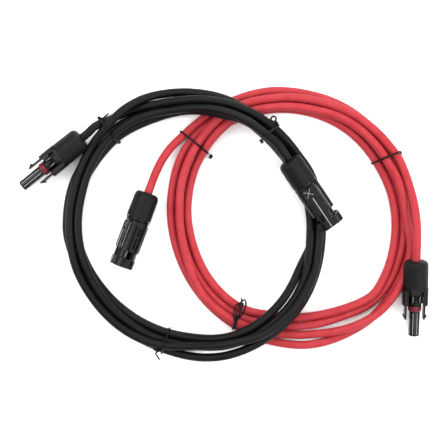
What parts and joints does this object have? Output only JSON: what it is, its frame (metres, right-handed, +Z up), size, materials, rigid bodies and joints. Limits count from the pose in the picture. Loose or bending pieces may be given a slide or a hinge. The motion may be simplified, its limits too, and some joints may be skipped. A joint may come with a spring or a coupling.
{
  "type": "solar cable connector pair",
  "caption": "Coiled red and black solar extension leads with socket and pin couplers, gland nuts and wire ties, lying one across the other.",
  "frame": {"origin": "on the surface the leads lie on, below the middle of the four couplers", "axes": "+X along the longest way across the pair, towards the red lead's socket coupler; +Y away; +Z up from the surface"},
  "size_m": [0.3096, 0.2108, 0.036],
  "materials": {
    "cable_jacket_red": "satin extruded cross-linked jacket",
    "cable_jacket_black": "matte extruded cross-linked jacket",
    "tie_wire": "plastic-coated binding wire",
    "tinned_contact": "tin-plated turned copper",
    "copper_strands": "stranded copper",
    "cable_seal_silicone": "moulded silicone",
    "red_silicone": "moulded silicone",
    "gland_nut_plastic": "fine spark-eroded moulded texture",
    "clamp_cage_plastic": "moulded",
    "coupler_plastic": "semi-gloss moulded"
  },
  "bodies": {
    "red_lead_set": {"red_coil": "cable_jacket_red", "red_socket_lead": "cable_jacket_red", "red_pin_lead": "cable_jacket_red", "red_tie_upper_left": "tie_wire", "red_tie_upper_right": "tie_wire", "red_tie_lower": "tie_wire", "red_socket_housing": "coupler_plastic", "red_socket_sealing_ring": "red_silicone", "red_socket_contact": "tinned_contact", "red_socket_conductor": "copper_strands", "red_socket_cable_seal": "cable_seal_silicone", "red_pin_housing": "coupler_plastic", "red_pin_inner_seal": "red_silicone", "red_pin_contact": "tinned_contact", "red_pin_conductor": "copper_strands", "red_pin_cable_seal": "cable_seal_silicone"},
    "black_lead_set": {"black_coil": "cable_jacket_black", "black_socket_lead": "cable_jacket_black", "black_pin_lead": "cable_jacket_black", "black_tie_upper_left": "tie_wire", "black_tie_upper_right": "tie_wire", "black_tie_lower": "tie_wire", "black_socket_housing": "coupler_plastic", "black_socket_sealing_ring": "red_silicone", "black_socket_contact": "tinned_contact", "black_socket_conductor": "copper_strands", "black_socket_cable_seal": "cable_seal_silicone", "black_pin_housing": "coupler_plastic", "black_pin_inner_seal": "red_silicone", "black_pin_contact": "tinned_contact", "black_pin_conductor": "copper_strands", "black_pin_cable_seal": "cable_seal_silicone"},
    "red_socket_cage_body": {"red_socket_clamp_cage": "clamp_cage_plastic"},
    "red_socket_nut_body": {"red_socket_gland_nut": "gland_nut_plastic"},
    "red_pin_cage_body": {"red_pin_clamp_cage": "clamp_cage_plastic"},
    "red_pin_nut_body": {"red_pin_gland_nut": "gland_nut_plastic"},
    "red_socket_latch_left_body": {"red_socket_latch_left": "coupler_plastic"},
    "red_socket_latch_right_body": {"red_socket_latch_right": "coupler_plastic"},
    "black_socket_cage_body": {"black_socket_clamp_cage": "clamp_cage_plastic"},
    "black_socket_nut_body": {"black_socket_gland_nut": "gland_nut_plastic"},
    "black_pin_cage_body": {"black_pin_clamp_cage": "clamp_cage_plastic"},
    "black_pin_nut_body": {"black_pin_gland_nut": "gland_nut_plastic"},
    "black_socket_latch_left_body": {"black_socket_latch_left": "coupler_plastic"},
    "black_socket_latch_right_body": {"black_socket_latch_right": "coupler_plastic"}
  },
  "joints": [
    {"name": "black_lead_lift", "type": "slide", "parent": "red_lead_set", "child": "black_lead_set", "axis": [0, 0, 1], "range_m": [0, 0.06]},
    {"name": "red_socket_cage_slide", "type": "slide", "parent": "red_lead_set", "child": "red_socket_cage_body", "axis": [0, 0.9799, 0.1994], "range_m": [0, 0.006]},
    {"name": "red_socket_nut_turn", "type": "hinge", "parent": "red_socket_cage_body", "child": "red_socket_nut_body", "pos_m": [0.145, -0.0298, 0.01481], "axis": [0, 0.9799, 0.1994], "range_deg": [0, 1080]},
    {"name": "red_pin_cage_slide", "type": "slide", "parent": "red_lead_set", "child": "red_pin_cage_body", "axis": [0.3502, 0.9367, 0], "range_m": [0, 0.006]},
    {"name": "red_pin_nut_turn", "type": "hinge", "parent": "red_pin_cage_body", "child": "red_pin_nut_body", "pos_m": [-0.0607, 0.02153, 0.01007], "axis": [0.3502, 0.9367, 0], "range_deg": [0, 1080]},
    {"name": "red_socket_latch_left_flex", "type": "hinge", "parent": "red_lead_set", "child": "red_socket_latch_left_body", "pos_m": [0.1521, -0.04842, 0.01102], "axis": [0, 0.1994, -0.9799], "range_deg": [0, 5], "stiffness_Nm_per_rad": 1.2},
    {"name": "red_socket_latch_right_flex", "type": "hinge", "parent": "red_lead_set", "child": "red_socket_latch_right_body", "pos_m": [0.1379, -0.04842, 0.01102], "axis": [0, -0.1994, 0.9799], "range_deg": [0, 5], "stiffness_Nm_per_rad": 1.2},
    {"name": "black_socket_cage_slide", "type": "slide", "parent": "black_lead_set", "child": "black_socket_cage_body", "axis": [0.7802, 0.6206, 0.0785], "range_m": [0, 0.006]},
    {"name": "black_socket_nut_turn", "type": "hinge", "parent": "black_socket_cage_body", "child": "black_socket_nut_body", "pos_m": [-0.1147, 0.06619, 0.01242], "axis": [0.7802, 0.6206, 0.0785], "range_deg": [0, 1080]},
    {"name": "black_pin_cage_slide", "type": "slide", "parent": "black_lead_set", "child": "black_pin_cage_body", "axis": [-0.5627, 0.8036, 0.1942], "range_m": [0, 0.006]},
    {"name": "black_pin_nut_turn", "type": "hinge", "parent": "black_pin_cage_body", "child": "black_pin_nut_body", "pos_m": [0.05403, 0.04656, 0.02566], "axis": [-0.5627, 0.8036, 0.1942], "range_deg": [0, 1080]},
    {"name": "black_socket_latch_left_flex", "type": "hinge", "parent": "black_lead_set", "child": "black_socket_latch_left_body", "pos_m": [-0.12511, 0.04885, 0.01093], "axis": [0.0614, 0.0488, -0.9969], "range_deg": [0, 5], "stiffness_Nm_per_rad": 1.2},
    {"name": "black_socket_latch_right_flex", "type": "hinge", "parent": "black_lead_set", "child": "black_socket_latch_right_body", "pos_m": [-0.13395, 0.05996, 0.01093], "axis": [-0.0614, -0.0488, 0.9969], "range_deg": [0, 5], "stiffness_Nm_per_rad": 1.2}
  ],
  "couplings": [
    {"joint": "red_socket_nut_turn", "follows": "red_socket_cage_slide", "rad_per_m": 3141.6},
    {"joint": "red_pin_nut_turn", "follows": "red_pin_cage_slide", "rad_per_m": 3141.6},
    {"joint": "black_socket_nut_turn", "follows": "black_socket_cage_slide", "rad_per_m": 3141.6},
    {"joint": "black_pin_nut_turn", "follows": "black_pin_cage_slide", "rad_per_m": 3141.6}
  ]
}
